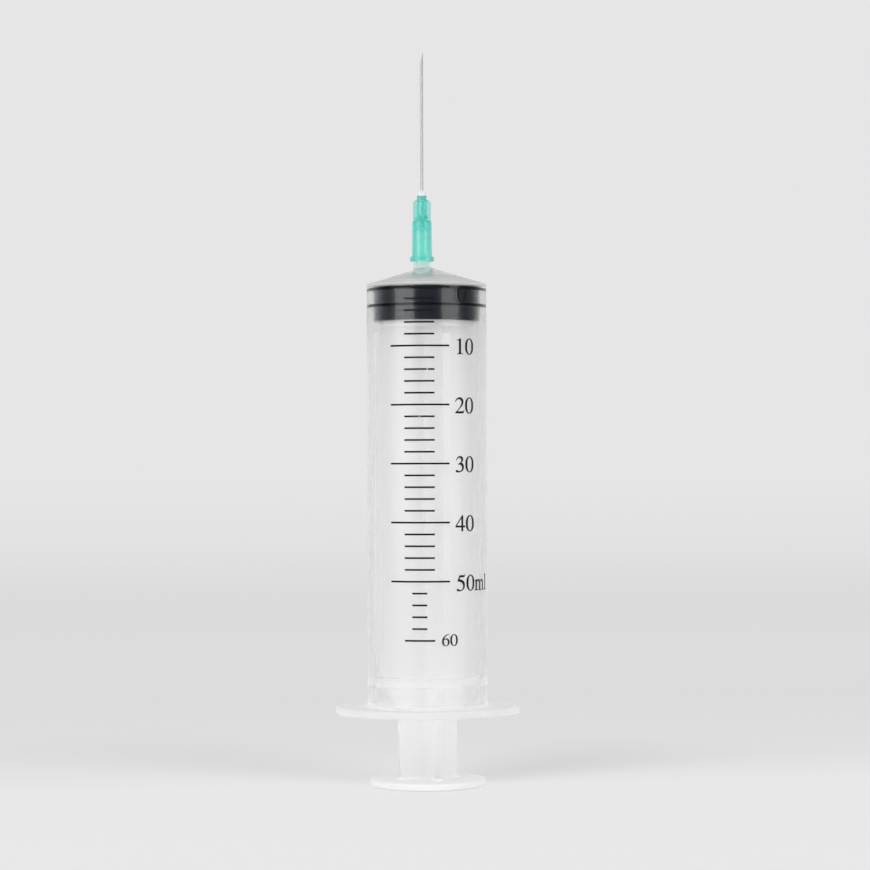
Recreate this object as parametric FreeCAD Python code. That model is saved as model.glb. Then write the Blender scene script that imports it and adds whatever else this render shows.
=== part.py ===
import FreeCAD, Part
import math
import os

# A 50 ml slip-tip syringe with its needle, standing on the plunger's thumb disc, in millimetres.
# Z is the barrel's axis and points to the needle, X runs along the finger flange, and the scale faces -Y.

# Barrel
BORE_RADIUS = 14.42
WALL = 1.44
BARREL_LENGTH = 113.6
GRIP_GAP = 18.9
END_WALL = 0.95
SHOULDER_EDGE = 0.5
CONE_SLOPE = 17.4
MOUTH_CHAMFER = 0.6

# Ridge inside the mouth that keeps the plunger from being pulled out
RIDGE_INSET = 9.0
RIDGE_HALF_HEIGHT = 1.3
RIDGE_CLEARANCE = 0.08

# Finger flange, seen from above a plate with two bowed sides and two short straight ends
FLANGE_LENGTH = 47.9
FLANGE_WIDTH = 39.2
FLANGE_END = 10.4
FLANGE_THICKNESS = 2.0
FLANGE_CORNER = 3.0
FLANGE_EDGE = 0.55
FLANGE_COVE = 1.3

# Male slip nozzle with the standard 6 % taper, a little off the barrel's axis
NOZZLE_OFFSET = 1.15
NOZZLE_TIP_RADIUS = 1.99
NOZZLE_LENGTH = 8.0
NOZZLE_COVE = 0.4
NOZZLE_FOOT = 1.2
NOZZLE_TIP_EDGE = 0.2
LUER_TAPER = 0.06
LUMEN_RADIUS = 1.1

# Plunger rod: thumb disc, cross-shaped stem and vanes that flare out to fill the bore
DISC_RADIUS = 15.35
DISC_THICKNESS = 1.9
DISC_EDGE = 0.6
STEM_RADIUS = 8.15
STEM_FOOT = 1.5
STEM_FOOT_SINK = 0.15
VANE_THICKNESS = 2.2
VANE_EDGE = 0.4
VANE_CLEARANCE = 0.32
VANE_CORNER = 2.0
VANE_ROOT = 0.8
VANE_TURN = 14.5
FLARE_INSET = 0.4
FLARE_HEIGHT = 22.7
GATE_RADIUS = 1.4
GATE_DEPTH = 0.3

# Head of the rod that snaps into the stopper
PLATE_RADIUS = 12.2
PLATE_THICKNESS = 1.6
NECK_RADIUS = 5.2
NECK_LENGTH = 2.4
BARB_RADIUS = 7.2
BARB_LENGTH = 2.6
BARB_NOSE = 1.2
SNAP_CLEARANCE = 0.1

# Rubber stopper with two sealing ribs
STOPPER_HEIGHT = 8.9
STOPPER_RADIUS = 13.58
STOPPER_GAP = 0.1
RIB_CLEARANCE = 0.02
RIB_RAMP = 0.35
TOP_RIB_LAND = 1.0
LOWER_RIB_LAND = 0.8
LOWER_RIB_DROP = 4.4
SKIRT_EDGE = 0.3
NOSE_RISE = 1.1
NOSE_EDGE = 0.45

# Needle hub
LUER_GRIP = 5.9
LUER_CLEARANCE = 0.02
SOCKET_DEPTH = 8.0
HUB_LENGTH = 17.4
HUB_MOUTH_RADIUS = 2.72
HUB_SHOULDER_RADIUS = 2.56
HUB_BODY_LENGTH = 10.6
HUB_SHOULDER_LENGTH = 2.0
HUB_NOSE_RADIUS = 1.36
HUB_NOSE_DRAFT = 0.08
HUB_RIM_RADIUS = 3.25
HUB_RIM_HEIGHT = 1.3
HUB_RIM_EDGE = 0.25
LUG_REACH = 3.9
LUG_WIDTH = 3.4
FIN_COUNT = 4
FIN_RADIUS = 2.35
FIN_THICKNESS = 0.62
FIN_LENGTH = 5.9
FIN_TOP_SLOPE = 0.7
THROAT_RADIUS = 1.2
THROAT_LENGTH = 2.6

# Needle and the bead of glue that holds it
CANNULA_RADIUS = 0.41
CANNULA_BORE = 0.26
CANNULA_EXPOSED = 38.2
CANNULA_SEATED = 7.8
BEVEL_LENGTH = 3.3
LANCET_ANGLE = 20.0
LANCET_TURN = 32.0
GLUE_GAP = 0.02
BEAD_RADIUS = 1.05
BEAD_SHOULDER_RADIUS = 0.83
BEAD_SHOULDER_HEIGHT = 0.93
BEAD_HEIGHT = 1.5
GLUE_WELL_DEPTH = 0.9

# Printed scale, in millilitres: a line each 2 ml up to 50 ml, then shorter ones to 60 ml
SCALE_TURN = -13.7
SCALE_FULL = 60
SCALE_NOMINAL = 50
SCALE_STEP = 2
SCALE_NUMBERED = 10
LINE_WIDTH = 0.46
INK_THICKNESS = 0.05
LONG_HALF_ANGLE = 28.9
SHORT_HALF_ANGLE = 14.4
TAIL_HALF_ANGLE = 7.1

# How far a rough block runs past the solid that it cuts or joins
OVERLAP = 0.3
CUTTER_SIZE = 10.0

# Levels worked out from the sizes, with the plunger pushed home
barrel_radius = BORE_RADIUS + WALL
mouth_z = GRIP_GAP
flange_top_z = mouth_z + FLANGE_THICKNESS
shoulder_z = mouth_z + BARREL_LENGTH
bore_end_z = shoulder_z - END_WALL
cone_radius = barrel_radius - SHOULDER_EDGE
cone_steepness = math.tan(math.radians(CONE_SLOPE))
neck_z = shoulder_z + (cone_radius - NOZZLE_OFFSET - NOZZLE_TIP_RADIUS) * cone_steepness
nozzle_tip_z = neck_z + NOZZLE_LENGTH
ridge_z = mouth_z + RIDGE_INSET
vane_radius = BORE_RADIUS - VANE_CLEARANCE
rib_radius = BORE_RADIUS - RIB_CLEARANCE
stopper_top_z = bore_end_z - STOPPER_GAP
stopper_base_z = stopper_top_z - STOPPER_HEIGHT
top_rib_z = stopper_top_z - TOP_RIB_LAND / 2
plate_z = stopper_base_z - PLATE_THICKNESS
flare_z = mouth_z + FLARE_INSET
hub_mouth_z = nozzle_tip_z - LUER_GRIP
hub_top_z = hub_mouth_z + HUB_LENGTH
cannula_tip_z = hub_top_z + CANNULA_EXPOSED

UP = FreeCAD.Vector(0, 0, 1)
CENTRE = FreeCAD.Vector(0, 0, 0)
NOZZLE_CENTRE = FreeCAD.Vector(-NOZZLE_OFFSET, 0, 0)


def flat(point):
    """Place of a (radius, height) pair in the XZ plane."""
    return FreeCAD.Vector(point[0], 0, point[1])


def section(start, *steps):
    """Closed face in the XZ plane. A step is an end point, or a middle and an end point for an arc."""
    edges = []
    here = start
    for step in steps + (start,):
        if isinstance(step[0], tuple):
            middle, end = step
            edges.append(Part.Arc(flat(here), flat(middle), flat(end)).toShape())
        else:
            end = step
            edges.append(Part.LineSegment(flat(here), flat(end)).toShape())
        here = end
    return Part.Face(Part.Wire(edges))


def turned(*outline):
    """Solid of revolution about Z from an outline of (radius, height) steps."""
    return section(*outline).revolve(CENTRE, UP, 360)


def corner_arc(radius, height, size, rise):
    """Quarter round from a flat end face to a side: the side is at radius, the face at height."""
    inset = size * (1 - math.cos(math.radians(45)))
    side_z = height - rise * size
    middle = (radius - inset, height - rise * inset)
    return (radius - size, height), middle, (radius, side_z)


def cove(radius, height, size):
    """Ring with a hollow quarter-round face, between a flat floor at height and a round wall."""
    inset = size * (1 - math.cos(math.radians(45)))
    return turned(
        (radius - OVERLAP, height - OVERLAP),
        (radius + size, height - OVERLAP),
        (radius + size, height),
        ((radius + inset, height + inset), (radius, height + size)),
        (radius - OVERLAP, height + size),
    )


def roof_cone(radius, height):
    """Full cone with the barrel's roof slope, that stands on a circle at a height."""
    return turned((0, height), (radius, height), (0, height + radius * cone_steepness))


def half_space(point, normal):
    """Large block that lies against a plane, on the side that the normal points to."""
    block = Part.makeBox(CUTTER_SIZE, CUTTER_SIZE, CUTTER_SIZE)
    block.translate(FreeCAD.Vector(-CUTTER_SIZE / 2, -CUTTER_SIZE / 2, 0))
    block.Placement = FreeCAD.Placement(point, FreeCAD.Rotation(UP, normal)).multiply(block.Placement)
    return block


def nozzle_radius(height):
    """Radius of the tapered nozzle at a height."""
    return NOZZLE_TIP_RADIUS + (nozzle_tip_z - height) * LUER_TAPER / 2


def finger_flange():
    """Flat plate with bowed long sides and rounded corners and edges."""
    end_x = FLANGE_LENGTH / 2
    end_y = FLANGE_END / 2
    side_y = FLANGE_WIDTH / 2
    corners = [
        FreeCAD.Vector(-end_x, -end_y, mouth_z),
        FreeCAD.Vector(end_x, -end_y, mouth_z),
        FreeCAD.Vector(end_x, end_y, mouth_z),
        FreeCAD.Vector(-end_x, end_y, mouth_z),
    ]
    front = Part.Arc(corners[0], FreeCAD.Vector(0, -side_y, mouth_z), corners[1]).toShape()
    right = Part.LineSegment(corners[1], corners[2]).toShape()
    back = Part.Arc(corners[2], FreeCAD.Vector(0, side_y, mouth_z), corners[3]).toShape()
    left = Part.LineSegment(corners[3], corners[0]).toShape()
    plate = Part.Face(Part.Wire([front, right, back, left])).extrude(UP * FLANGE_THICKNESS)
    uprights = [edge for edge in plate.Edges if edge.BoundBox.ZLength > FLANGE_THICKNESS / 2]
    plate = plate.makeFillet(FLANGE_CORNER, uprights)
    rims = [edge for edge in plate.Edges if edge.BoundBox.ZLength < FLANGE_THICKNESS / 2]
    return plate.makeFillet(FLANGE_EDGE, rims)


def slip_nozzle():
    """Tapered nozzle on its own axis, long enough below to end inside the sloping roof."""
    foot_z = neck_z - NOZZLE_FOOT
    face, middle, side = corner_arc(nozzle_radius(nozzle_tip_z), nozzle_tip_z, NOZZLE_TIP_EDGE, 1)
    nozzle = turned((0, foot_z), (nozzle_radius(foot_z), foot_z), side, (middle, face), (0, nozzle_tip_z))
    nozzle.translate(NOZZLE_CENTRE)
    return nozzle


def is_neck_edge(edge):
    """True for the closed seam between the roof and the nozzle."""
    box = edge.BoundBox
    width = 2 * nozzle_radius(neck_z)
    in_reach = neck_z - NOZZLE_FOOT < box.ZMin and box.ZMax < nozzle_tip_z - NOZZLE_TIP_EDGE
    return in_reach and edge.isClosed() and abs(box.YLength - width) < NOZZLE_COVE


def plunger_ridge():
    """Low rounded ridge round the bore, which the stopper's lower rib meets when drawn right out."""
    crest = vane_radius + RIDGE_CLEARANCE
    return turned(
        (BORE_RADIUS + OVERLAP, ridge_z - RIDGE_HALF_HEIGHT),
        (BORE_RADIUS, ridge_z - RIDGE_HALF_HEIGHT),
        ((crest, ridge_z), (BORE_RADIUS, ridge_z + RIDGE_HALF_HEIGHT)),
        (BORE_RADIUS + OVERLAP, ridge_z + RIDGE_HALF_HEIGHT),
    )


def barrel():
    """Tube, sloping roof, nozzle and flange, moulded in one piece."""
    face, middle, side = corner_arc(barrel_radius, shoulder_z, SHOULDER_EDGE, 1)
    tube = turned((0, mouth_z), (barrel_radius, mouth_z), side, (middle, face), (0, shoulder_z))
    solid = tube.fuse([roof_cone(cone_radius, shoulder_z), slip_nozzle()])
    solid = solid.makeFillet(NOZZLE_COVE, [edge for edge in solid.Edges if is_neck_edge(edge)])
    solid = solid.fuse([finger_flange(), cove(barrel_radius, flange_top_z, FLANGE_COVE)])
    bore = Part.makeCylinder(BORE_RADIUS, bore_end_z - mouth_z + OVERLAP, UP * (mouth_z - OVERLAP))
    lumen_length = nozzle_tip_z - bore_end_z + OVERLAP
    lumen = Part.makeCylinder(LUMEN_RADIUS, lumen_length, NOZZLE_CENTRE + UP * bore_end_z)
    lead_in = Part.makeCone(BORE_RADIUS + MOUTH_CHAMFER, BORE_RADIUS, MOUTH_CHAMFER, UP * mouth_z)
    solid = solid.cut([bore, roof_cone(BORE_RADIUS, bore_end_z), lumen, lead_in])
    return solid.fuse(plunger_ridge()).removeSplitter()


def flare_arc():
    """Middle and end of the arc by which a vane swings out, ending parallel to the axis."""
    spread = vane_radius - STEM_RADIUS
    radius = (FLARE_HEIGHT ** 2 + spread ** 2) / (2 * spread)
    top_z = flare_z + FLARE_HEIGHT
    half_turn = math.asin(FLARE_HEIGHT / radius) / 2
    middle_radius = vane_radius - radius * (1 - math.cos(half_turn))
    return (middle_radius, top_z - radius * math.sin(half_turn)), (vane_radius, top_z)


def vane():
    """One of the rod's four vanes, from the thumb disc to the head plate, with its outer edges rounded."""
    inset = STEM_FOOT * (1 - math.cos(math.radians(45)))
    foot_z = DISC_THICKNESS - STEM_FOOT_SINK
    outline = section(
        (0, foot_z),
        (STEM_RADIUS + STEM_FOOT, foot_z),
        ((STEM_RADIUS + inset, foot_z + inset), (STEM_RADIUS, foot_z + STEM_FOOT)),
        (STEM_RADIUS, flare_z),
        flare_arc(),
        (vane_radius, plate_z - VANE_CORNER),
        (vane_radius - VANE_CORNER, plate_z),
        (0, plate_z),
    )
    outline.translate(FreeCAD.Vector(0, -VANE_THICKNESS / 2, 0))
    blade = outline.extrude(FreeCAD.Vector(0, VANE_THICKNESS, 0))
    outer = [edge for edge in blade.Edges if is_outer_edge(edge)]
    return blade.makeFillet(VANE_EDGE, outer)


def is_outer_edge(edge):
    """True for an edge of a blade that runs along its outer side."""
    box = edge.BoundBox
    return box.YLength < VANE_EDGE and box.ZLength > VANE_EDGE and box.XMin > STEM_RADIUS - VANE_EDGE


def plunger_rod():
    """Thumb disc, four flared vanes and the snap head, moulded in one piece."""
    foot_face, foot_middle, foot_side = corner_arc(DISC_RADIUS, 0, DISC_EDGE, -1)
    top_face, top_middle, top_side = corner_arc(DISC_RADIUS, DISC_THICKNESS, DISC_EDGE, 1)
    disc = turned(
        (0, 0), foot_face, (foot_middle, foot_side), top_side, (top_middle, top_face), (0, DISC_THICKNESS)
    )
    neck_top_z = stopper_base_z + NECK_LENGTH
    barb_top_z = neck_top_z + BARB_LENGTH
    head = turned(
        (0, plate_z),
        (PLATE_RADIUS, plate_z),
        (PLATE_RADIUS, stopper_base_z),
        (NECK_RADIUS, stopper_base_z),
        (NECK_RADIUS, neck_top_z),
        (BARB_RADIUS, neck_top_z),
        (BARB_RADIUS, barb_top_z - BARB_NOSE),
        (BARB_RADIUS - BARB_NOSE, barb_top_z),
        (0, barb_top_z),
    )
    vanes = []
    for quarter in range(4):
        blade = vane()
        blade.rotate(CENTRE, UP, 90 * quarter)
        vanes.append(blade)
    cross = vanes[0].fuse(vanes[1:]).removeSplitter()
    roots = [edge for edge in cross.Edges if is_root_edge(edge)]
    cross = cross.makeFillet(VANE_ROOT, roots)
    gate = Part.makeCylinder(GATE_RADIUS, GATE_DEPTH)
    rod = cross.fuse([disc, head]).cut(gate).removeSplitter()
    rod.rotate(CENTRE, UP, VANE_TURN)
    return rod


def is_root_edge(edge):
    """True for the long inner corner between two vanes."""
    middle = edge.CenterOfMass
    reach = math.hypot(middle.x, middle.y)
    return edge.BoundBox.ZLength > FLARE_HEIGHT and reach < VANE_THICKNESS


def stopper():
    """Rubber cup with two sealing ribs, a low nose and the pocket for the rod's head."""
    top_land_z = stopper_top_z - TOP_RIB_LAND
    lower_z = top_rib_z - LOWER_RIB_DROP
    lower_land = LOWER_RIB_LAND / 2
    neck_top_z = stopper_base_z + NECK_LENGTH - SNAP_CLEARANCE
    pocket_top_z = stopper_base_z + NECK_LENGTH + BARB_LENGTH + SNAP_CLEARANCE
    pocket_radius = BARB_RADIUS + SNAP_CLEARANCE
    return turned(
        (NECK_RADIUS + SNAP_CLEARANCE, stopper_base_z),
        (STOPPER_RADIUS - SKIRT_EDGE, stopper_base_z),
        (STOPPER_RADIUS, stopper_base_z + SKIRT_EDGE),
        (STOPPER_RADIUS, lower_z - lower_land - RIB_RAMP),
        (rib_radius, lower_z - lower_land),
        (rib_radius, lower_z + lower_land),
        (STOPPER_RADIUS, lower_z + lower_land + RIB_RAMP),
        (STOPPER_RADIUS, top_land_z - RIB_RAMP),
        (rib_radius, top_land_z),
        (rib_radius, stopper_top_z),
        (rib_radius - NOSE_EDGE, stopper_top_z),
        (0, stopper_top_z + NOSE_RISE),
        (0, pocket_top_z),
        (pocket_radius - BARB_NOSE, pocket_top_z),
        (pocket_radius, pocket_top_z - BARB_NOSE),
        (pocket_radius, neck_top_z),
        (NECK_RADIUS + SNAP_CLEARANCE, neck_top_z),
    )


def hub_fins():
    """Upright fins round the hub's nose, with sloped tops."""
    foot_z = hub_mouth_z + HUB_BODY_LENGTH
    outline = section(
        (0, foot_z - OVERLAP),
        (HUB_SHOULDER_RADIUS - OVERLAP, foot_z - OVERLAP),
        (FIN_RADIUS, foot_z),
        (FIN_RADIUS, foot_z + FIN_LENGTH - FIN_TOP_SLOPE),
        (HUB_NOSE_RADIUS, foot_z + FIN_LENGTH),
        (0, foot_z + FIN_LENGTH),
    )
    outline.translate(FreeCAD.Vector(0, -FIN_THICKNESS / 2, 0))
    fins = []
    for index in range(FIN_COUNT):
        fin = outline.extrude(FreeCAD.Vector(0, FIN_THICKNESS, 0))
        fin.rotate(CENTRE, UP, 360 / FIN_COUNT * index)
        fins.append(fin)
    return fins


def hub_lugs():
    """Two locking lugs that stand out from the rim at the front and back."""
    ring = Part.makeCylinder(LUG_REACH, HUB_RIM_HEIGHT, UP * hub_mouth_z)
    bar = Part.makeBox(LUG_WIDTH, 2 * LUG_REACH, HUB_RIM_HEIGHT)
    bar.translate(FreeCAD.Vector(-LUG_WIDTH / 2, -LUG_REACH, hub_mouth_z))
    return ring.common(bar)


def needle_hub():
    """Moulded hub: tapered socket, rim with lugs, shoulder, finned nose and the needle's hole."""
    body_top_z = hub_mouth_z + HUB_BODY_LENGTH
    nose_z = body_top_z + HUB_SHOULDER_LENGTH
    rim_top_z = hub_mouth_z + HUB_RIM_HEIGHT
    sag = (HUB_SHOULDER_RADIUS + HUB_NOSE_RADIUS) / 2 - OVERLAP
    body = turned(
        (0, hub_mouth_z),
        (HUB_RIM_RADIUS - HUB_RIM_EDGE, hub_mouth_z),
        (HUB_RIM_RADIUS, hub_mouth_z + HUB_RIM_EDGE),
        (HUB_RIM_RADIUS, rim_top_z - HUB_RIM_EDGE),
        (HUB_RIM_RADIUS - HUB_RIM_EDGE, rim_top_z),
        (HUB_MOUTH_RADIUS, rim_top_z),
        (HUB_SHOULDER_RADIUS, body_top_z),
        ((sag, (body_top_z + nose_z) / 2), (HUB_NOSE_RADIUS, nose_z)),
        (HUB_NOSE_RADIUS - HUB_NOSE_DRAFT, hub_top_z),
        (0, hub_top_z),
    )
    body = body.fuse(hub_fins() + [hub_lugs()]).removeSplitter()
    socket_end_z = hub_mouth_z + SOCKET_DEPTH
    socket = Part.makeCone(
        nozzle_radius(hub_mouth_z - OVERLAP) + LUER_CLEARANCE,
        nozzle_radius(socket_end_z) + LUER_CLEARANCE,
        SOCKET_DEPTH + OVERLAP,
        UP * (hub_mouth_z - OVERLAP),
    )
    hole_radius = CANNULA_RADIUS + GLUE_GAP
    throat = Part.makeCone(THROAT_RADIUS, hole_radius, THROAT_LENGTH, UP * socket_end_z)
    hole = Part.makeCylinder(hole_radius, HUB_LENGTH, UP * socket_end_z)
    well = Part.makeCone(hole_radius, BEAD_RADIUS, GLUE_WELL_DEPTH, UP * (hub_top_z - GLUE_WELL_DEPTH))
    hub = body.cut([socket, throat, hole, well])
    hub.translate(NOZZLE_CENTRE)
    return hub


def needle_cannula():
    """Steel tube with a slanted bevel and two side grinds that meet in a point."""
    base_z = hub_top_z - CANNULA_SEATED
    length = CANNULA_SEATED + CANNULA_EXPOSED
    tube = Part.makeCylinder(CANNULA_RADIUS, length, UP * base_z)
    tube = tube.cut(Part.makeCylinder(CANNULA_BORE, length, UP * base_z))
    tip = FreeCAD.Vector(CANNULA_RADIUS, 0, cannula_tip_z)
    bevel_angle = math.degrees(math.atan2(2 * CANNULA_RADIUS, BEVEL_LENGTH))
    for angle, turn in ((bevel_angle, 0), (LANCET_ANGLE, LANCET_TURN), (LANCET_ANGLE, -LANCET_TURN)):
        lean = math.radians(angle)
        normal = FreeCAD.Vector(-math.cos(lean), 0, math.sin(lean))
        normal = FreeCAD.Rotation(UP, turn).multVec(normal)
        tube = tube.cut(half_space(tip, normal))
    tube.translate(NOZZLE_CENTRE)
    return tube


def needle_adhesive():
    """Glue that fills the well round the needle and stands up as a small bead."""
    well_z = hub_top_z - GLUE_WELL_DEPTH
    hole_radius = CANNULA_RADIUS + GLUE_GAP
    shoulder = (BEAD_SHOULDER_RADIUS, hub_top_z + BEAD_SHOULDER_HEIGHT)
    bead = turned(
        (CANNULA_RADIUS, well_z),
        (hole_radius, well_z),
        (BEAD_RADIUS, hub_top_z),
        (shoulder, (CANNULA_RADIUS, hub_top_z + BEAD_HEIGHT)),
    )
    bead.translate(NOZZLE_CENTRE)
    return bead


def line_half_angle(volume):
    """Half the angle that a line of the scale spans round the barrel."""
    if volume == SCALE_FULL:
        return SHORT_HALF_ANGLE
    if volume > SCALE_NOMINAL:
        return TAIL_HALF_ANGLE
    if volume % SCALE_NUMBERED == 0:
        return LONG_HALF_ANGLE
    return SHORT_HALF_ANGLE


def graduation_marks():
    """Printed lines of the scale. Their pitch is what the bore holds for each millilitre."""
    pitch = 1000 / (math.pi * BORE_RADIUS ** 2)
    lines = []
    for volume in range(0, SCALE_FULL + SCALE_STEP, SCALE_STEP):
        low_z = top_rib_z - volume * pitch - LINE_WIDTH / 2
        ink_radius = barrel_radius + INK_THICKNESS
        stripe = section(
            (barrel_radius, low_z),
            (ink_radius, low_z),
            (ink_radius, low_z + LINE_WIDTH),
            (barrel_radius, low_z + LINE_WIDTH),
        )
        half_angle = line_half_angle(volume)
        stripe.rotate(CENTRE, UP, -90 + SCALE_TURN - half_angle)
        lines.append(stripe.revolve(CENTRE, UP, 2 * half_angle))
    return Part.makeCompound(lines)


def main():
    os.makedirs("parts", exist_ok=True)
    pieces = {
        "barrel": barrel(),
        "graduation_marks": graduation_marks(),
        "plunger_rod": plunger_rod(),
        "stopper": stopper(),
        "needle_hub": needle_hub(),
        "needle_cannula": needle_cannula(),
        "needle_adhesive": needle_adhesive(),
    }
    for node, shape in pieces.items():
        shape.exportStep("parts/" + node + ".step")
        print(node, len(shape.Solids), "solids", round(shape.Volume, 2), "mm3", shape.isValid())


main()
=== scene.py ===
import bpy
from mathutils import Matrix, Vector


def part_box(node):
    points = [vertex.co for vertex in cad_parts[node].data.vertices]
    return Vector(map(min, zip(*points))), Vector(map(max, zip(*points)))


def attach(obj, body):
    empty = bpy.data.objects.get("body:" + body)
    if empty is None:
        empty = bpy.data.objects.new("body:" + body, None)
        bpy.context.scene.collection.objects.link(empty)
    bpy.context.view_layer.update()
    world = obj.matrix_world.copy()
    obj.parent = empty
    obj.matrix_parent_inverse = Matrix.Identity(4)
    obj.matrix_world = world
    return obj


bl_info = {
    "name": "Standing Slip-Tip Syringe",
    "version": (1, 0, 0),
    "blender": (4, 5, 0),
    "location": "3D View > Sidebar > Syringe",
    "description": "Finishes, printed scale and studio for a syringe that stands on its thumb disc",
    "category": "Object",
}

import math

import bmesh
import bpy
from bpy.props import FloatProperty, FloatVectorProperty, PointerProperty
from mathutils import Matrix, Vector

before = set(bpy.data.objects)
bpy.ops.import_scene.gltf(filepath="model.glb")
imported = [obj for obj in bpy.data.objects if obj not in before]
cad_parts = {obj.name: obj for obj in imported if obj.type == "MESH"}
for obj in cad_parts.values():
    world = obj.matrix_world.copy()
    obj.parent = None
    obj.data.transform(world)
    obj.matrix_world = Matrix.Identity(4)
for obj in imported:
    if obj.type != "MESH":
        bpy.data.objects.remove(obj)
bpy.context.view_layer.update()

MM = 0.001

# Heights on the pieces, worked out from the boxes that the frame gives
barrel_low, barrel_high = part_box("barrel")
scale_low, scale_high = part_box("graduation_marks")
stopper_low, stopper_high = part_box("stopper")
FLANGE_TOP = barrel_low.z + 3.3 * MM
RIDGE = barrel_low.z + 9.0 * MM
SHOULDER = scale_high.z + 0.4 * MM
NECK = barrel_high.z - 8.0 * MM
STOPPER_EDGE = stopper_high.z - 1.1 * MM
HUB_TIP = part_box("needle_hub")[1].z
DISC_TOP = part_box("plunger_rod")[0].z + 2.2 * MM

# The printed scale
LINE_WIDTH = 0.46 * MM
BARREL_RADIUS = 15.86 * MM
TOP_LINE = scale_high.z - LINE_WIDTH / 2
LAST_LINE = scale_low.z + LINE_WIDTH / 2
FULL_SCALE = 60
PITCH = (TOP_LINE - LAST_LINE) / FULL_SCALE

# Outlines of the printed figures, in thousandths of the type size. A trailing 1 marks a corner.
FIGURES = {
    "0": (
        (
            (250, 676, 0), (72, 560, 0), (24, 331, 0), (72, 100, 0), (250, -14, 0), (428, 100, 0),
            (476, 331, 0), (428, 560, 0),
        ),
        (
            (250, 648, 0), (346, 550, 0), (378, 331, 0), (346, 112, 0), (250, 14, 0), (154, 112, 0),
            (122, 331, 0), (154, 550, 0),
        ),
    ),
    "1": (
        (
            (118, 0, 1), (118, 18, 1), (180, 26, 0), (206, 74, 1), (206, 560, 1), (182, 598, 0),
            (111, 578, 1), (111, 596, 1), (288, 676, 1), (298, 676, 1), (298, 74, 1), (322, 26, 0),
            (394, 18, 1), (394, 0, 1),
        ),
    ),
    "2": (
        (
            (475, 140, 1), (460, 142, 1), (428, 86, 0), (386, 76, 1), (128, 76, 1), (278, 238, 0),
            (388, 372, 0), (424, 496, 0), (376, 622, 0), (248, 676, 0), (104, 626, 0), (30, 504, 1),
            (50, 498, 1), (108, 574, 0), (200, 604, 0), (296, 560, 0), (334, 464, 0), (300, 340, 0),
            (208, 208, 0), (29, 12, 1), (29, 0, 1), (424, 0, 1),
        ),
    ),
    "3": (
        (
            (60, 508, 1), (126, 624, 0), (248, 676, 0), (356, 636, 0), (392, 548, 0), (360, 458, 0),
            (300, 402, 1), (396, 330, 0), (431, 216, 0), (390, 88, 0), (292, 12, 0), (152, -14, 0),
            (66, 0, 0), (41, 40, 0), (62, 76, 0), (112, 74, 0), (196, 30, 0), (296, 62, 0),
            (342, 176, 0), (300, 286, 0), (152, 330, 1), (152, 346, 1), (260, 400, 0), (304, 504, 0),
            (270, 590, 0), (200, 616, 0), (128, 582, 0), (78, 500, 1),
        ),
    ),
    "4": (
        (
            (472, 167, 1), (472, 231, 1), (370, 231, 1), (370, 676, 1), (326, 676, 1), (12, 231, 1),
            (12, 167, 1), (288, 167, 1), (288, 0, 1), (370, 0, 1), (370, 167, 1),
        ),
        ((288, 231, 1), (54, 231, 1), (288, 566, 1)),
    ),
    "5": (
        (
            (438, 688, 1), (430, 692, 1), (404, 666, 0), (380, 662, 1), (174, 662, 1), (64, 420, 1),
            (78, 410, 1), (210, 382, 0), (314, 306, 0), (350, 190, 0), (308, 74, 0), (208, 26, 0),
            (112, 66, 0), (62, 76, 0), (31, 40, 0), (60, 0, 0), (148, -14, 0), (298, 20, 0),
            (400, 118, 0), (428, 236, 0), (392, 370, 0), (290, 456, 0), (150, 496, 1), (188, 584, 1),
            (384, 584, 1), (404, 590, 1),
        ),
    ),
    "6": (
        (
            (446, 684, 1), (300, 650, 0), (150, 546, 0), (60, 400, 0), (34, 256, 0), (60, 110, 0),
            (138, 14, 0), (246, -14, 0), (376, 28, 0), (450, 122, 0), (468, 220, 0), (440, 338, 0),
            (372, 408, 0), (278, 428, 0), (156, 396, 1), (206, 520, 0), (298, 610, 0), (448, 668, 1),
        ),
        (
            (226, 384, 0), (310, 366, 0), (358, 290, 0), (374, 184, 0), (344, 64, 0), (258, 14, 0),
            (176, 60, 0), (136, 160, 0), (132, 270, 0), (146, 348, 0),
        ),
    ),
    "m": (
        (
            (16, 0, 1), (16, 16, 1), (62, 26, 0), (76, 66, 1), (76, 372, 1), (62, 404, 0), (19, 406, 1),
            (19, 422, 1), (148, 460, 1), (156, 456, 1), (156, 386, 1), (222, 444, 0), (298, 460, 0),
            (372, 436, 0), (406, 372, 1), (474, 436, 0), (564, 460, 0), (654, 418, 0), (684, 300, 1),
            (684, 66, 1), (704, 26, 0), (770, 16, 1), (770, 0, 1), (550, 0, 1), (550, 16, 1),
            (586, 26, 0), (600, 66, 1), (600, 292, 1), (578, 378, 0), (516, 400, 0), (454, 380, 0),
            (422, 336, 1), (422, 66, 1), (440, 26, 0), (490, 16, 1), (490, 0, 1), (280, 0, 1),
            (280, 16, 1), (324, 26, 0), (338, 66, 1), (338, 300, 1), (314, 378, 0), (252, 400, 0),
            (196, 380, 0), (160, 344, 1), (160, 66, 1), (174, 26, 0), (222, 16, 1), (222, 0, 1),
        ),
    ),
    "l": (
        (
            (19, 0, 1), (19, 16, 1), (76, 28, 0), (94, 76, 1), (94, 582, 1), (78, 622, 0), (19, 624, 1),
            (19, 642, 1), (168, 683, 1), (178, 680, 1), (178, 76, 1), (196, 28, 0), (257, 16, 1), (257, 0, 1),
        ),
    ),
}
ADVANCE = {"m": 790, "l": 278}
FIGURE_ADVANCE = 500
FIGURE_HEIGHT = 676
FIGURE_WIDENING = 1.04
FIGURE_WEIGHT = 8
FIGURE_STEP = 0.3 * MM

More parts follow.
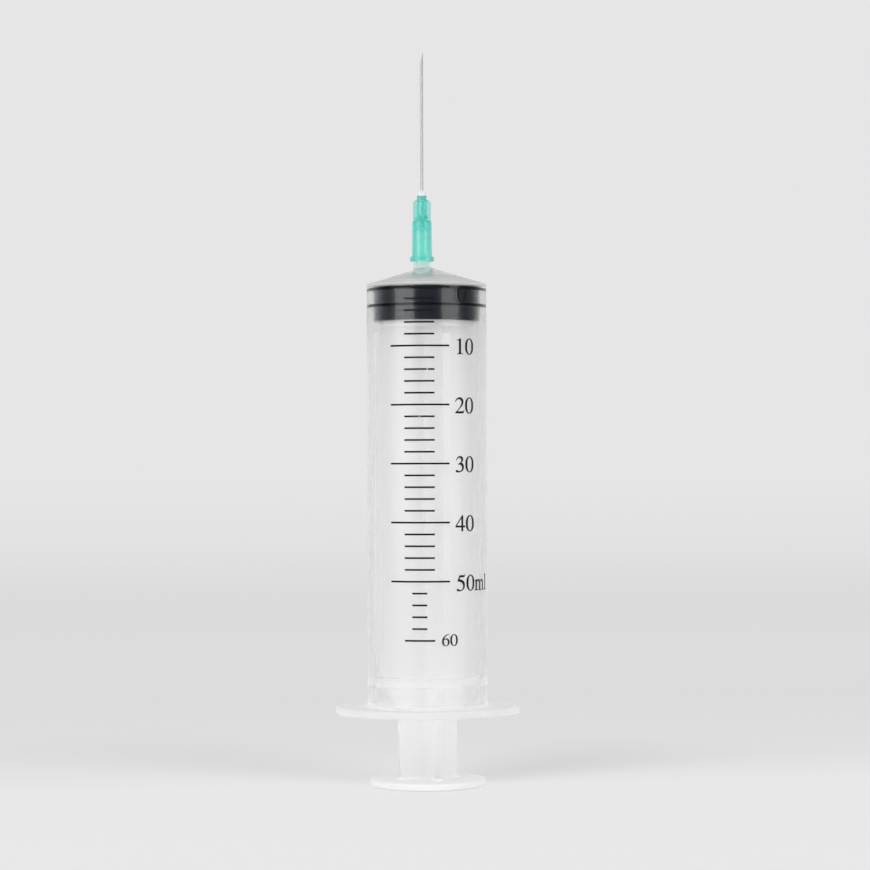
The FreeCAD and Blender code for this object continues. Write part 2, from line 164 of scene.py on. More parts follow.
# Every numbered line: its volume in millilitres, its words, their height in millimetres, where they start
# round the barrel in degrees and how many millimetres their middle sits below the line
LABELS = (
    (0, "0", 4.1, 23.1, 1.8),
    (10, "10", 4.1, 20.9, 0.14),
    (20, "20", 4.1, 20.6, 0.20),
    (30, "30", 4.1, 20.8, 0.17),
    (40, "40", 4.1, 21.1, 0.25),
    (50, "50ml", 4.1, 21.6, 0.44),
    (60, "60", 3.0, 6.7, -0.14),
)

# Small gaps in the printed lines: the line's volume, the degrees round the barrel and the gap's radius in
# millimetres
PRINT_GAPS = ((14, -6.0, 0.2), (22, -13.4, 0.19))

# Bands round the stopper, in millimetres: how far each starts below the stopper's edge, its height and its
# radius. The ribs press on the bore, and the rubber between and below them swells near it.
RUBBER_BANDS = (
    ("seal_band_1", 0.25, 0.75, 14.43),
    ("rubber_sleeve_1", 1.0, 3.5, 14.0),
    ("seal_band_2", 4.5, 0.8, 14.43),
    ("rubber_sleeve_2", 5.3, 3.5, 14.0),
)
BAND_THICKNESS = 0.05 * MM
BAND_STEPS = 128

# The floor is a round sheet, in metres. The camera sees it glow by a share, and the lamps light the rest.
# The glow has a little less green than red and blue.
FLOOR_RADIUS = 9.0
FLOOR_GLOW = 0.8
FLOOR_GREEN = 0.994

# Brightness of the floor's glow by metres behind the syringe: bright in front, painted shade behind the disc,
# then up to the backdrop
FLOOR_DEPTH = 8.0
FLOOR_LEVELS_WITH_PAINTED_SHADE = (
    (0.0, 0.823),
    (0.01, 0.80),
    (0.04, 0.777),
    (0.08, 0.743),
    (0.25, 0.72),
    (0.5, 0.738),
    (0.72, 0.722),
    (1.0, 0.733),
    (1.6, 0.779),
    (2.2, 0.80),
    (4.6, 0.823),
    (8.0, 0.831),
)

# Painted shadows in the floor's glow behind the thumb disc: degrees to the right of the view, depth and reach
# in metres. They begin under the disc, keep their depth for a while and widen as they go.
PAINTED_FLOOR_SHADOWS = ((37.0, 0.15, 0.15), (-44.5, 0.085, 0.20))
PAINTED_SHADOW_BEGIN = 0.02
PAINTED_SHADOW_STEADY = 0.045
PAINTED_SHADOW_WIDTH = 0.012
PAINTED_SHADOW_SPREAD = 0.45

# Soft boxes, in metres: they stand on two sides of the camera and face the barrel
BOX_DISTANCE = 1.0
BOX_HEIGHT = 0.36
BOX_LENGTH = 0.7
BOX_AIM = 0.12
LEFT_BOX_TURN = math.radians(-44.2)
LEFT_BOX_WIDTH = 0.75
RIGHT_BOX_TURN = math.radians(47.2)
RIGHT_BOX_WIDTH = 0.68

# Where the dim room gives way to the bright backdrop, by the Y part of a ray's direction: as clear plastic
# shows it and as gloss reflects it
ROOM_EDGE_THROUGH = (-0.1, 0.5)
ROOM_EDGE_MIRRORED = (0.1, 0.7)


class SyringePrint(bpy.types.PropertyGroup):
    """Height, colour and speckle of the printed ink"""

    ink_height: FloatProperty(
        name="Ink height", description="How far the print stands off the barrel",
        default=0.015 * MM, unit="LENGTH",
    )
    ink: FloatVectorProperty(
        name="Ink", description="Colour of the print",
        default=(0.012, 0.012, 0.014), size=3, subtype="COLOR",
    )
    speckle: FloatProperty(
        name="Speckle", description="Unevenness of the ink",
        default=0.25, min=0, max=1, subtype="FACTOR",
    )


class SyringeFinish(bpy.types.PropertyGroup):
    """Colours and haze of the plastics, rubber and steel"""

    barrel_tint: FloatVectorProperty(
        name="Barrel tint", description="What the clear barrel lets through",
        default=(0.99, 0.99, 0.99), size=3, subtype="COLOR",
    )
    barrel_haze: FloatProperty(
        name="Barrel haze", description="Blur of the barrel's wall",
        default=0.155, min=0, max=1, subtype="FACTOR",
    )
    body_haze: FloatProperty(
        name="Body haze", description="Blur of the wall below the stopper's place",
        default=0.27, min=0, max=1, subtype="FACTOR",
    )
    barrel_milk: FloatProperty(
        name="Barrel milk", description="Share of light that the thin wall scatters",
        default=0.002, min=0, max=1, subtype="FACTOR",
    )
    thick_milk: FloatProperty(
        name="Thick milk", description="Share of light that the flange scatters",
        default=0.78, min=0, max=1, subtype="FACTOR",
    )
    neck_milk: FloatProperty(
        name="Neck milk", description="Share of light that the nozzle scatters",
        default=0.9, min=0, max=1, subtype="FACTOR",
    )
    shoulder_milk: FloatProperty(
        name="Shoulder milk", description="Share of light that the barrel's shoulder scatters",
        default=0.9, min=0, max=1, subtype="FACTOR",
    )
    ridge_milk: FloatProperty(
        name="Ridge milk", description="Share of light that the ridge in the mouth scatters",
        default=0.3, min=0, max=1, subtype="FACTOR",
    )
    rim_haze: FloatProperty(
        name="Rim haze", description="Blur of the wall where it is seen edge-on",
        default=0.03, min=0, max=1, subtype="FACTOR",
    )
    rim_milk: FloatProperty(
        name="Rim milk", description="Share that the wall scatters where it is seen edge-on",
        default=0.9, min=0, max=1, subtype="FACTOR",
    )
    natural: FloatVectorProperty(
        name="Natural plastic", description="Colour of the light that the plastic scatters",
        default=(0.95, 0.95, 0.95), size=3, subtype="COLOR",
    )
    head_milk: FloatProperty(
        name="Head milk", description="Share that the rod scatters below the stopper",
        default=1.0, min=0, max=1, subtype="FACTOR",
    )
    foot_milk: FloatProperty(
        name="Foot milk", description="Share that the rod scatters below the barrel",
        default=0.52, min=0, max=1, subtype="FACTOR",
    )
    rod_milk: FloatProperty(
        name="Rod milk", description="Share of light that the rod scatters",
        default=0.78, min=0, max=1, subtype="FACTOR",
    )
    rubber: FloatVectorProperty(
        name="Rubber", description="Colour of the stopper",
        default=(0.001, 0.006, 0.013), size=3, subtype="COLOR",
    )
    hub_tint: FloatVectorProperty(
        name="Hub tint", description="What the hub's plastic lets through",
        default=(0.10, 0.95, 0.91), size=3, subtype="COLOR",
    )
    hub_depth: FloatProperty(
        name="Hub depth", description="How fast the hub's colour deepens, per metre",
        default=540, min=0,
    )
    hub_milk: FloatProperty(
        name="Hub milk", description="Share of light that the hub scatters",
        default=0.3, min=0, max=1, subtype="FACTOR",
    )
    steel: FloatVectorProperty(
        name="Steel", description="Colour of the needle",
        default=(0.80, 0.79, 0.795), size=3, subtype="COLOR",
    )
    resin: FloatVectorProperty(
        name="Resin", description="Colour of the glue at the needle's foot",
        default=(0.97, 0.98, 0.97), size=3, subtype="COLOR",
    )


class SyringeStage(bpy.types.PropertyGroup):
    """Camera, lamps and backdrop"""

    camera_distance: FloatProperty(
        name="Camera distance", description="From the barrel's axis",
        default=0.7282, unit="LENGTH",
    )
    camera_height: FloatProperty(
        name="Camera height", description="Above the floor",
        default=0.0871, unit="LENGTH",
    )
    camera_azimuth: FloatProperty(
        name="Camera azimuth", description="Turn of the camera round the barrel",
        default=math.radians(-6.5), subtype="ANGLE",
    )
    camera_yaw: FloatProperty(
        name="Camera yaw", description="Turn of the view to the right of the axis",
        default=math.radians(0.169), subtype="ANGLE",
    )
    camera_pitch: FloatProperty(
        name="Camera pitch", description="Upward tilt of the view",
        default=math.radians(0.4275), subtype="ANGLE",
    )
    camera_roll: FloatProperty(
        name="Camera roll", description="Lean of the picture",
        default=math.radians(0.185), subtype="ANGLE",
    )
    focal_length: FloatProperty(
        name="Focal length", description="In millimetres",
        default=113.8,
    )
    fill: FloatProperty(
        name="Fill", description="Strength of the light from all round",
        default=0.70,
    )
    left_box: FloatProperty(
        name="Left soft box", description="Brightness of the soft box at the left",
        default=1.82,
    )
    right_box: FloatProperty(
        name="Right soft box", description="Brightness of the soft box at the right",
        default=1.46,
    )
    room: FloatProperty(
        name="Room", description="Brightness of the room as gloss reflects it",
        default=0.012,
    )
    far_room: FloatProperty(
        name="Room through plastic", description="Brightness of the room as clear plastic shows it",
        default=0.07,
    )
    backdrop: FloatProperty(
        name="Backdrop", description="Brightness of the backdrop",
        default=0.80,
    )


class Finish:
    """A node material under construction, with its Principled shader."""

    def __init__(self, name):
        self.material = bpy.data.materials.new(name)
        self.material.use_nodes = True
        self.tree = self.material.node_tree
        self.shader = self.tree.nodes["Principled BSDF"]
        self.output = self.tree.nodes["Material Output"]
        self.surface = self.shader.outputs["BSDF"]

    def node(self, kind, **settings):
        made = self.tree.nodes.new(kind)
        for key, value in settings.items():
            setattr(made, key, value)
        return made

    def link(self, start, end):
        self.tree.links.new(start, end)

    def feed(self, socket, value):
        """Sets a socket to a number, or links another socket to it."""
        if isinstance(value, bpy.types.NodeSocket):
            self.link(value, socket)
        else:
            socket.default_value = value

    def set(self, **values):
        for key, value in values.items():
            socket = self.shader.inputs[key.replace("_", " ")]
            if hasattr(socket.default_value, "__len__") and len(value) == 3:
                value = (*value, 1)
            socket.default_value = value

    def place(self):
        """Object coordinates, in metres."""
        return self.node("ShaderNodeTexCoord").outputs["Object"]

    def axis(self, name):
        """One of the Object coordinates."""
        split = self.node("ShaderNodeSeparateXYZ")
        self.link(self.place(), split.inputs["Vector"])
        return split.outputs[name]

    def calculate(self, operation, *values, **settings):
        """Result of a Math node on numbers and sockets."""
        made = self.node("ShaderNodeMath", operation=operation, **settings)
        for socket, value in zip(made.inputs, values):
            self.feed(socket, value)
        return made.outputs["Value"]

    def ramp(self, value, start, end, low, high, kind="LINEAR"):
        """Takes a value between start and end to one between low and high, and holds it there outside."""
        spread = self.node("ShaderNodeMapRange", interpolation_type=kind)
        limits = {"Value": value, "From Min": start, "From Max": end, "To Min": low, "To Max": high}
        for name, limit in limits.items():
            self.feed(spread.inputs[name], limit)
        return spread.outputs["Result"]

    def noise(self, scale, detail=2.0, stretch=(1, 1, 1)):
        """Noise on Object coordinates, with scale in features per metre."""
        mapping = self.node("ShaderNodeMapping")
        mapping.inputs["Scale"].default_value = stretch
        noise = self.node("ShaderNodeTexNoise")
        noise.inputs["Scale"].default_value = scale
        noise.inputs["Detail"].default_value = detail
        self.link(self.place(), mapping.inputs["Vector"])
        self.link(mapping.outputs["Vector"], noise.inputs["Vector"])
        return noise.outputs["Fac"]

    def relief(self, value, depth):
        """Fine relief on the surface, with depth in metres."""
        bump = self.node("ShaderNodeBump")
        bump.inputs["Distance"].default_value = depth
        bump.inputs["Strength"].default_value = 1.0
        self.link(value, bump.inputs["Height"])
        self.link(bump.outputs["Normal"], self.shader.inputs["Normal"])

    def blend(self, share, first, second):
        """Mixes two shaders. The share of the second is a number or a socket."""
        mix = self.node("ShaderNodeMixShader")
        self.feed(mix.inputs["Fac"], share)
        self.link(first, mix.inputs[1])
        self.link(second, mix.inputs[2])
        return mix.outputs["Shader"]

    def milk(self, colour, share, through=0.5):
        """Scatters a share of the light as cloudy plastic does, some of it back and some of it through."""
        ways = []
        for kind in ("ShaderNodeBsdfDiffuse", "ShaderNodeBsdfTranslucent"):
            way = self.node(kind)
            way.inputs["Color"].default_value = (*colour, 1)
            ways.append(way.outputs["BSDF"])
        self.surface = self.blend(share, self.surface, self.blend(through, *ways))

    def by_height(self, *levels):
        """Value by Object height, from (height in metres, value) pairs with rising heights."""
        height = self.axis("Z")
        total = levels[0][1]
        for (low, low_value), (high, high_value) in zip(levels, levels[1:]):
            total = self.calculate("ADD", total, self.ramp(height, low, high, 0.0, high_value - low_value))
        return total

    def pass_lamps(self, tint):
        """Lets lamp light reach what is behind clear plastic."""
        path = self.node("ShaderNodeLightPath")
        clear = self.node("ShaderNodeBsdfTransparent")
        clear.inputs["Color"].default_value = (*tint, 1)
        self.surface = self.blend(path.outputs["Is Shadow Ray"], self.surface, clear.outputs["BSDF"])

    def close(self):
        """Joins the last shader to the output."""
        self.link(self.surface, self.output.inputs["Surface"])

    def give(self, obj):
        obj.data.materials.clear()
        obj.data.materials.append(self.material)


def outline_mesh(name, outlines, place):
    """Flat mesh from closed outlines, filled, with holes left open, moved by a matrix."""
    curve = bpy.data.curves.new(name, "CURVE")
    curve.dimensions = "2D"
    curve.fill_mode = "BOTH"
    curve.resolution_u = 5
    curve.offset = FIGURE_WEIGHT
    for outline in outlines:
        spline = curve.splines.new("BEZIER")
        spline.bezier_points.add(len(outline) - 1)
        for point, (x, y, corner) in zip(spline.bezier_points, outline):
            point.co = (x, y, 0)
            kind = "VECTOR" if corner else "AUTO"
            point.handle_left_type = kind
            point.handle_right_type = kind
        spline.use_cyclic_u = True
    holder = bpy.data.objects.new(name, curve)
    bpy.context.scene.collection.objects.link(holder)
    bpy.context.view_layer.update()
    mesh = bpy.data.meshes.new_from_object(holder.evaluated_get(bpy.context.evaluated_depsgraph_get()))
    bpy.data.objects.remove(holder)
    bpy.data.curves.remove(curve)
    mesh.transform(place)
    return mesh


def new_piece(name, bm, body):
    """Puts a finished bmesh into the scene as a piece that rides on a body."""
    mesh = bpy.data.meshes.new(name)
    bm.to_mesh(mesh)
    bm.free()
    piece = bpy.data.objects.new(name, mesh)
    bpy.context.scene.collection.objects.link(piece)
    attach(piece, body)
    return piece


class SYRINGE_OT_barrel(bpy.types.Operator):
    """Clear, slightly hazy polypropylene for the barrel"""

    bl_idname = "syringe.barrel"
    bl_label = "Finish the Barrel"

    def cloud(self, finish, look):
        """Share of light that the plastic scatters where it is thick: flange, ridge, shoulder and nozzle."""
        return finish.by_height(
            (FLANGE_TOP - 1.0 * MM, look.thick_milk),
            (FLANGE_TOP, look.barrel_milk),
            (RIDGE - 1.5 * MM, look.barrel_milk),
            (RIDGE - 0.7 * MM, look.ridge_milk),
            (RIDGE + 0.7 * MM, look.ridge_milk),
            (RIDGE + 1.5 * MM, look.barrel_milk),
            (SHOULDER, look.barrel_milk),
            (SHOULDER + 0.3 * MM, look.shoulder_milk),
            (SHOULDER + 1.3 * MM, look.shoulder_milk),
            (SHOULDER + 2.0 * MM, 0.4),
            (NECK - 2.2 * MM, 0.2),
            (NECK - 1.2 * MM, 0.01),
            (NECK + 0.1 * MM, 0.01),
            (NECK + 0.4 * MM, look.neck_milk),
            (NECK + 1.5 * MM, look.neck_milk),
            (NECK + 1.9 * MM, 0.35),
        )

    def rim(self, finish, look, edge_on):
        """Share that it scatters where it is seen edge-on, which is less beside the stopper and above it."""
        part = finish.by_height(
            (stopper_low.z - 0.5 * MM, 1.0),
            (stopper_low.z + 0.5 * MM, 0.15),
            (SHOULDER + 0.9 * MM, 0.15),
            (SHOULDER + 1.3 * MM, 0.2),
        )
        return finish.calculate("MULTIPLY", finish.ramp(edge_on, 0.3, 1.0, 0.0, look.rim_milk), part)

    def execute(self, context):
        look = context.scene.syringe_finish
        finish = Finish("barrel_polypropylene")
        finish.set(
            Base_Color=look.barrel_tint,
            Roughness=look.barrel_haze,
            IOR=1.49,
            Transmission_Weight=1.0,
        )
        finish.relief(finish.noise(260, 1.0, (1, 1, 0.15)), 0.001 * MM)
        side = finish.node("ShaderNodeLayerWeight")
        side.inputs["Blend"].default_value = 0.5
        edge_on = side.outputs["Facing"]
        haze = finish.by_height((stopper_low.z - 7.0 * MM, look.body_haze), (stopper_low.z, look.barrel_haze))
        roughness = finish.ramp(edge_on, 0.5, 1.0, haze, look.rim_haze)
        finish.link(roughness, finish.shader.inputs["Roughness"])
        cloud = self.cloud(finish, look)
        share = finish.calculate("ADD", cloud, self.rim(finish, look, edge_on), use_clamp=True)
        finish.milk(look.natural, share)
        finish.pass_lamps((0.99, 0.99, 0.99))
        finish.close()
        finish.give(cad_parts["barrel"])
        return {"FINISHED"}


class SYRINGE_OT_rod(bpy.types.Operator):
    """Natural, milky polypropylene for the plunger rod"""

    bl_idname = "syringe.rod"
    bl_label = "Finish the Plunger Rod"

    def execute(self, context):
        look = context.scene.syringe_finish
        finish = Finish("rod_polypropylene")
        finish.set(
            Base_Color=(0.98, 0.98, 0.98),
            Roughness=0.3,
            IOR=1.49,
            Transmission_Weight=1.0,
        )
        finish.relief(finish.noise(420, 2.0, (1, 1, 0.3)), 0.006 * MM)
        share = finish.by_height(
            (DISC_TOP, 0.97),
            (DISC_TOP + 0.8 * MM, look.foot_milk),
            (barrel_low.z - 0.5 * MM, look.foot_milk),
            (barrel_low.z + 0.5 * MM, look.rod_milk),
            (stopper_low.z - 14.0 * MM, look.rod_milk),
            (stopper_low.z - 4.0 * MM, look.head_milk),
        )
        through = finish.by_height(
            (DISC_TOP, 0.02),
            (DISC_TOP + 0.8 * MM, 0.3),
            (barrel_low.z, 0.5),
            (stopper_low.z - 14.0 * MM, 0.5),
            (stopper_low.z - 4.0 * MM, 0.03),
        )
        finish.milk(look.natural, share, through)
        finish.pass_lamps((0.72, 0.72, 0.72))
        finish.close()
        finish.give(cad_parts["plunger_rod"])
        return {"FINISHED"}


class SYRINGE_OT_stopper(bpy.types.Operator):
    """Black moulded rubber, and its thin bands at the bore"""

    bl_idname = "syringe.stopper"
    bl_label = "Finish the Stopper"

    def execute(self, context):
        look = context.scene.syringe_finish
        finish = Finish("stopper_rubber")
        finish.set(Base_Color=look.rubber, Roughness=0.5, Specular_IOR_Level=0.05)
        grain = finish.noise(2600, 3.0)
        finish.link(finish.ramp(grain, 0.0, 1.0, 0.34, 0.5), finish.shader.inputs["Roughness"])
        finish.relief(grain, 0.008 * MM)
        finish.close()
        finish.give(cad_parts["stopper"])
        for name, drop, height, radius in RUBBER_BANDS:
            band = self.band(STOPPER_EDGE - drop * MM, height * MM, radius * MM)
            finish.give(new_piece(name, band, "plunger"))
        return {"FINISHED"}

    def band(self, top, height, outer):
        """Thin ring of rubber near the bore."""
        low = top - height
        inner = outer - BAND_THICKNESS
        section = ((inner, 0, low), (outer, 0, low), (outer, 0, top), (inner, 0, top))
        bm = bmesh.new()
        corners = [bm.verts.new(corner) for corner in section]
        loop = [bm.edges.new(ends) for ends in zip(corners, corners[1:] + corners[:1])]
        bmesh.ops.spin(
            bm, geom=corners + loop, axis=(0, 0, 1), cent=(0, 0, 0), angle=math.tau, steps=BAND_STEPS,
            use_merge=True,
        )
        bmesh.ops.recalc_face_normals(bm, faces=bm.faces)
        return bm


class SYRINGE_OT_hub(bpy.types.Operator):
    """Clear green polypropylene for the needle's hub"""

    bl_idname = "syringe.hub"
    bl_label = "Finish the Hub"

    def execute(self, context):
        look = context.scene.syringe_finish
        finish = Finish("hub_green_polypropylene")
        finish.set(
            Base_Color=(1.0, 1.0, 1.0),
            Roughness=0.16,
            IOR=1.49,
            Transmission_Weight=1.0,
            Coat_Weight=1.0,
            Coat_Roughness=0.1,
        )
        finish.relief(finish.noise(1800, 2.0), 0.003 * MM)
        share = finish.by_height((HUB_TIP - 1.8 * MM, look.hub_milk), (HUB_TIP - 0.3 * MM, 0.7))
        finish.milk((0.40, 0.84, 0.78), share)
        finish.pass_lamps((0.55, 0.92, 0.86))
        finish.close()
        depth = finish.node("ShaderNodeVolumeAbsorption")
        depth.inputs["Color"].default_value = (*look.hub_tint, 1)
        depth.inputs["Density"].default_value = look.hub_depth
        finish.link(depth.outputs["Volume"], finish.output.inputs["Volume"])
        finish.give(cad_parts["needle_hub"])
        return {"FINISHED"}


class SYRINGE_OT_needle(bpy.types.Operator):
    """Drawn steel for the needle and pale resin for its bead of glue"""

    bl_idname = "syringe.needle"
    bl_label = "Finish the Needle"

    def execute(self, context):
        look = context.scene.syringe_finish
        steel = Finish("cannula_drawn_steel")
        steel.set(Base_Color=look.steel, Metallic=1.0, Roughness=0.5)
        draw_lines = steel.noise(9000, 2.0, (1, 1, 0.02))
        steel.link(steel.ramp(draw_lines, 0.0, 1.0, 0.42, 0.58), steel.shader.inputs["Roughness"])
        steel.relief(draw_lines, 0.002 * MM)
        steel.close()
        steel.give(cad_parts["needle_cannula"])
        resin = Finish("adhesive_resin")
        resin.set(
            Base_Color=look.resin,
            Roughness=0.12,
            IOR=1.5,
            Transmission_Weight=0.12,
            Coat_Weight=0.6,
            Coat_Roughness=0.03,
        )
        resin.relief(resin.noise(1500, 1.0), 0.01 * MM)
        resin.close()
        resin.give(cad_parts["needle_adhesive"])
        return {"FINISHED"}


class SYRINGE_OT_scale(bpy.types.Operator):
    """Black ink for the scale's lines, and the figures beside them"""

    bl_idname = "syringe.scale"
    bl_label = "Print the Scale"

    def label(self, words, height, start, middle_z, ink_height):
        """Figures wrapped round the barrel, from a start angle, as one bmesh."""
        size = height * MM / FIGURE_HEIGHT
        widen = Matrix.Scale(FIGURE_WIDENING, 4, (1, 0, 0))
        flat = bmesh.new()
        at = 0
        for letter in words:
            place = Matrix.Scale(size, 4) @ widen @ Matrix.Translation((at, -FIGURE_HEIGHT / 2, 0))
            flat.from_mesh(outline_mesh("figure_" + letter, FIGURES[letter], place))
            at += ADVANCE.get(letter, FIGURE_ADVANCE)
        bmesh.ops.remove_doubles(flat, verts=flat.verts, dist=0.002 * MM)
        width = at * size * FIGURE_WIDENING
        for index in range(1, math.ceil(width / FIGURE_STEP)):
            everything = flat.verts[:] + flat.edges[:] + flat.faces[:]
            cut = (index * FIGURE_STEP, 0, 0)
            bmesh.ops.bisect_plane(flat, geom=everything, dist=1e-7, plane_co=cut, plane_no=(1, 0, 0))
        raised = bmesh.ops.extrude_face_region(flat, geom=flat.faces[:])
        top = [part for part in raised["geom"] if isinstance(part, bmesh.types.BMVert)]
        bmesh.ops.translate(flat, verts=top, vec=(0, 0, ink_height))
        for vert in flat.verts:
            angle = start + vert.co.x / BARREL_RADIUS
            radius = BARREL_RADIUS + vert.co.z
            vert.co = Vector((radius * math.sin(angle), -radius * math.cos(angle), middle_z + vert.co.y))
        bmesh.ops.recalc_face_normals(flat, faces=flat.faces)
        return flat

    def worn_ink(self, sizes):
        """The lines' ink, with the small gaps where it didn't take."""
        worn = Finish("line_ink")
        worn.set(Base_Color=sizes.ink, Roughness=0.7, Specular_IOR_Level=0.15)
        place = worn.place()
        bare = worn.node("ShaderNodeBsdfTransparent")
        for volume, angle, radius in PRINT_GAPS:
            turn = math.radians(angle)
            gap = worn.node("ShaderNodeVectorMath", operation="DISTANCE")
            gap.inputs[1].default_value = (
                BARREL_RADIUS * math.sin(turn), -BARREL_RADIUS * math.cos(turn), TOP_LINE - volume * PITCH
            )
            worn.link(place, gap.inputs[0])
            inside = worn.calculate("LESS_THAN", gap.outputs["Value"], radius * MM)
            worn.surface = worn.blend(inside, worn.surface, bare.outputs["BSDF"])
        worn.close()
        return worn

    def execute(self, context):
        sizes = context.scene.syringe_print
        finish = Finish("scale_ink")
        finish.set(Base_Color=sizes.ink, Roughness=0.7, Specular_IOR_Level=0.15)
        low, high = 0.7 - sizes.speckle / 2, 0.7 + sizes.speckle / 2
        speckle = finish.ramp(finish.noise(5200, 3.0), 0.0, 1.0, low, high)
        finish.link(speckle, finish.shader.inputs["Roughness"])
        finish.close()
        self.worn_ink(sizes).give(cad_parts["graduation_marks"])
        for volume, words, height, start, drop in LABELS:
            middle_z = TOP_LINE - volume * PITCH - drop * MM
            flat = self.label(words, height, math.radians(start), middle_z, sizes.ink_height)
            piece = new_piece("figures_" + words, flat, "barrel_body")
            finish.give(piece)
        return {"FINISHED"}


class SYRINGE_OT_stage(bpy.types.Operator):
    """Pale floor, backdrop, two soft boxes and the camera"""

    bl_idname = "syringe.stage"
    bl_label = "Set the Stage"

    def floor(self, look):
        bm = bmesh.new()
        bmesh.ops.create_circle(bm, cap_ends=True, segments=128, radius=FLOOR_RADIUS)
        mesh = bpy.data.meshes.new("floor")
        bm.to_mesh(mesh)
        bm.free()
        floor = bpy.data.objects.new("floor", mesh)
        bpy.context.scene.collection.objects.link(floor)
        finish = Finish("floor_paper")
        finish.set(Base_Color=(0.92, 0.92, 0.92), Roughness=0.8, Specular_IOR_Level=0.2)
        glow = finish.node("ShaderNodeEmission")
        # The glow carries painted shade by distance behind the syringe
        finish.link(self.floor_glow_and_painted_shade(finish), glow.inputs["Color"])
        # The glow is dimmed by the painted shadows behind the disc
        finish.link(finish.calculate("SUBTRACT", 1.0, self.painted_shadow(finish, look)), glow.inputs["Strength"])
        share = finish.calculate("MULTIPLY", self.seen(finish), FLOOR_GLOW)
        finish.surface = finish.blend(share, finish.surface, glow.outputs["Emission"])
        finish.close()
        finish.give(floor)

    def floor_glow_and_painted_shade(self, finish):
        """Colour of the floor's glow by its distance behind the syringe, with painted shade behind the disc.
        """
        colours = finish.node("ShaderNodeValToRGB")
        elements = colours.color_ramp.elements
        while len(elements) < len(FLOOR_LEVELS_WITH_PAINTED_SHADE):
            elements.new(0.5)
        for element, (distance, level) in zip(elements, FLOOR_LEVELS_WITH_PAINTED_SHADE):
            element.position = distance / FLOOR_DEPTH
            element.color = (level, level * FLOOR_GREEN, level, 1)
        finish.link(finish.ramp(finish.axis("Y"), 0.0, FLOOR_DEPTH, 0.0, 1.0), colours.inputs["Fac"])
        return colours.outputs["Color"]

    def painted_shadow(self, finish, look):
        """How much darker the floor's glow is in the painted shadows behind the disc."""
        total = 0.0
        for turn, depth, reach in PAINTED_FLOOR_SHADOWS:
            azimuth = math.radians(turn) - look.camera_azimuth
            along = self.reach_along(finish, (math.sin(azimuth), math.cos(azimuth), 0))
            across = self.reach_along(finish, (math.cos(azimuth), -math.sin(azimuth), 0))
            width = finish.calculate("MULTIPLY_ADD", along, PAINTED_SHADOW_SPREAD, PAINTED_SHADOW_WIDTH)
            edge = finish.ramp(finish.calculate("ABSOLUTE", across), 0.0, width, 1.0, 0.0, "SMOOTHSTEP")
            fade = finish.ramp(along, PAINTED_SHADOW_STEADY, reach, depth, 0.0, "SMOOTHSTEP")
            begin = finish.ramp(along, 0.0, PAINTED_SHADOW_BEGIN, 0.0, 1.0, "SMOOTHSTEP")
            dark = finish.calculate("MULTIPLY", finish.calculate("MULTIPLY", fade, edge), begin)
            total = finish.calculate("ADD", total, dark)
        return total

    def reach_along(self, finish, direction):
        """Distance from the origin in a direction."""
        product = finish.node("ShaderNodeVectorMath", operation="DOT_PRODUCT")
        product.inputs[1].default_value = direction
        finish.link(finish.place(), product.inputs[0])
        return product.outputs["Value"]

    def seen(self, finish):
        """1 for what the camera sees, straight or by way of glass and gloss."""
        path = finish.node("ShaderNodeLightPath")
        straight = finish.calculate("MAXIMUM", path.outputs["Is Camera Ray"], path.outputs["Is Glossy Ray"])
        return finish.calculate("MAXIMUM", straight, path.outputs["Is Transmission Ray"])

    def backdrop(self, look):
        world = bpy.data.worlds.new("studio")
        bpy.context.scene.world = world
        world.use_nodes = True
        tree = world.node_tree
        light = tree.nodes["Background"]
        light.inputs["Color"].default_value = (1, 1, 1, 1)
        light.inputs["Strength"].default_value = look.fill
        shown = tree.nodes.new("ShaderNodeBackground")
        shown.inputs["Color"].default_value = (1, 0.985, 0.993, 1)
        shown.inputs["Strength"].default_value = look.backdrop
        through = self.outlook(tree, look.far_room, look.backdrop, ROOM_EDGE_THROUGH)
        mirrored = self.outlook(tree, look.room, look.backdrop, ROOM_EDGE_MIRRORED)
        path = tree.nodes.new("ShaderNodeLightPath")
        kinds = (("Is Glossy Ray", mirrored), ("Is Transmission Ray", through), ("Is Camera Ray", shown))
        last = light
        for kind, background in kinds:
            mix = tree.nodes.new("ShaderNodeMixShader")
            tree.links.new(path.outputs[kind], mix.inputs["Fac"])
            tree.links.new(last.outputs[0], mix.inputs[1])
            tree.links.new(background.outputs[0], mix.inputs[2])
            last = mix
        tree.links.new(last.outputs[0], tree.nodes["World Output"].inputs["Surface"])

    def outlook(self, tree, front, back, edge):
        """Background that is bright behind the syringe and dim on the camera's side, where the room is."""
        place = tree.nodes.new("ShaderNodeTexCoord")
        split = tree.nodes.new("ShaderNodeSeparateXYZ")
        share = tree.nodes.new("ShaderNodeMapRange")
        share.interpolation_type = "SMOOTHSTEP"
        share.inputs["From Min"].default_value = edge[0]
        share.inputs["From Max"].default_value = edge[1]
        share.inputs["To Min"].default_value = front
        share.inputs["To Max"].default_value = back
        background = tree.nodes.new("ShaderNodeBackground")
        background.inputs["Color"].default_value = (1, 1, 1, 1)
        tree.links.new(place.outputs["Generated"], split.inputs["Vector"])
        tree.links.new(split.outputs["Y"], share.inputs["Value"])
        tree.links.new(share.outputs["Result"], background.inputs["Strength"])
        return background

    def soft_box(self, name, azimuth, width, strength):
        """Upright area lamp at an azimuth from the camera's side, facing the barrel."""
        data = bpy.data.lights.new(name, "AREA")
        data.shape = "RECTANGLE"
        data.size = width
        data.size_y = BOX_LENGTH
        data.energy = strength * math.pi * data.size * data.size_y
        lamp = bpy.data.objects.new(name, data)
        bpy.context.scene.collection.objects.link(lamp)
        place = Vector((math.sin(azimuth), -math.cos(azimuth), 0)) * BOX_DISTANCE
        place.z = BOX_HEIGHT
        lamp.location = place
        target = Vector((0, 0, BOX_AIM))
        lamp.rotation_euler = (target - place).to_track_quat("-Z", "Y").to_euler()

